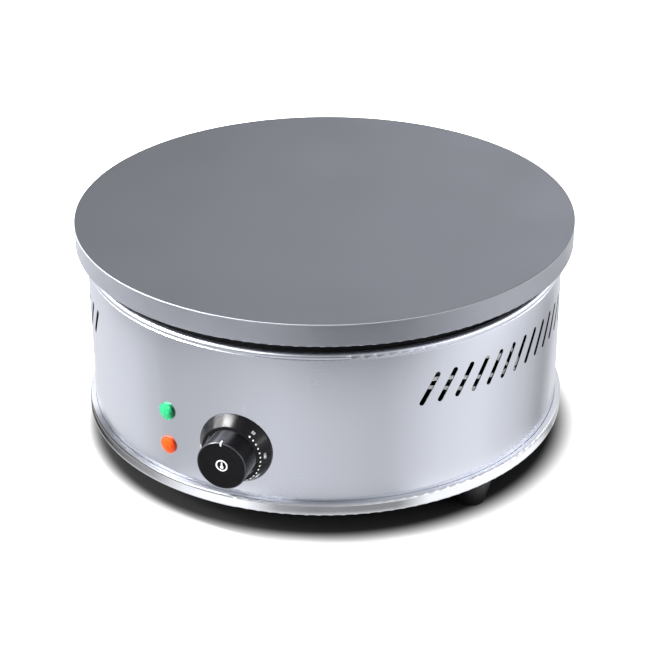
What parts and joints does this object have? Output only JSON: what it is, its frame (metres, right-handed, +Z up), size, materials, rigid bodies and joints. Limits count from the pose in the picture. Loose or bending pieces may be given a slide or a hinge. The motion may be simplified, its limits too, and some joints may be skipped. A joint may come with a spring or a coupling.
{
  "type": "electric crepe maker",
  "caption": "Round electric crepe maker: cast iron plate over a vented stainless drum with a thermostat knob, pilot lamps and tapered rubber feet.",
  "frame": {"origin": "on the table, under the centre of the cooking plate", "axes": "+Z up; -Y towards the control knob at the front; +X to the right seen from the front"},
  "size_m": [0.3999, 0.4386, 0.188],
  "materials": {
    "cast_iron": "fine ground and seasoned, satin grey",
    "stainless": "polished sheet with a soft sheen",
    "zinc_steel": "bright zinc plate",
    "spring_steel": "tempered strip",
    "shield_alu": "aluminised sheet",
    "sheath": "oxidised nickel alloy sheath",
    "copper": "drawn copper",
    "ceramic": "unglazed steatite",
    "fibre": "needled ceramic fibre blanket",
    "foot_rubber": "moulded, matt",
    "gloss_black": "gloss moulded, white printed scale",
    "nylon": "moulded, matt",
    "brass": "turned",
    "lens_green": "clear coloured lens",
    "lens_orange": "clear coloured lens",
    "white_sleeve": "braided glass fibre sleeve",
    "earth_sleeve": "green and yellow insulation"
  },
  "bodies": {
    "housing": {"base_nuts": "zinc_steel", "base_pan": "stainless", "base_screws": "zinc_steel", "bezel_clips": "zinc_steel", "block_screws": "zinc_steel", "bulb_clip": "spring_steel", "bulb_clip_screws": "zinc_steel", "cable_gland": "nylon", "capillary_tube": "copper", "clamp_nuts": "zinc_steel", "clamp_stud": "zinc_steel", "dial_bezel": "gloss_black", "drum_shell": "stainless", "earth_nuts": "brass", "earth_stud": "brass", "element_clamp": "zinc_steel", "element_insulators": "ceramic", "foot_left": "foot_rubber", "foot_nuts": "zinc_steel", "foot_rear": "foot_rubber", "foot_right": "foot_rubber", "foot_screws": "zinc_steel", "foot_washers": "zinc_steel", "gland_locknut": "nylon", "gland_nut": "nylon", "heat_shield": "shield_alu", "heating_element": "sheath", "hotplate": "cast_iron", "insulation_pad": "fibre", "lamp_bodies": "nylon", "lamp_bridge": "white_sleeve", "lamp_clips": "zinc_steel", "lamp_leads": "white_sleeve", "lamp_lens_green": "lens_green", "lamp_lens_orange": "lens_orange", "lead_earth": "earth_sleeve", "lead_lamp_neutral": "white_sleeve", "lead_live": "white_sleeve", "lead_neutral": "white_sleeve", "lead_switched": "white_sleeve", "plate_bolts": "zinc_steel", "plate_washers": "zinc_steel", "seam_rivets": "stainless", "seam_strap": "stainless", "support_bracket_left": "zinc_steel", "support_bracket_rear": "zinc_steel", "support_bracket_right": "zinc_steel", "support_sleeves": "zinc_steel", "terminal_block": "ceramic", "terminal_screws": "brass", "thermostat_body": "nylon", "thermostat_bulb": "copper", "thermostat_plate": "zinc_steel", "thermostat_screws": "zinc_steel", "thermostat_terminals": "brass"},
    "control": {"knob": "gloss_black", "knob_spring": "spring_steel", "thermostat_shaft": "zinc_steel"}
  },
  "joints": [
    {"name": "knob_turn", "type": "hinge", "parent": "housing", "child": "control", "pos_m": [0, -0.2193, 0.074], "axis": [0, 1, 0], "range_deg": [0, 266]}
  ]
}
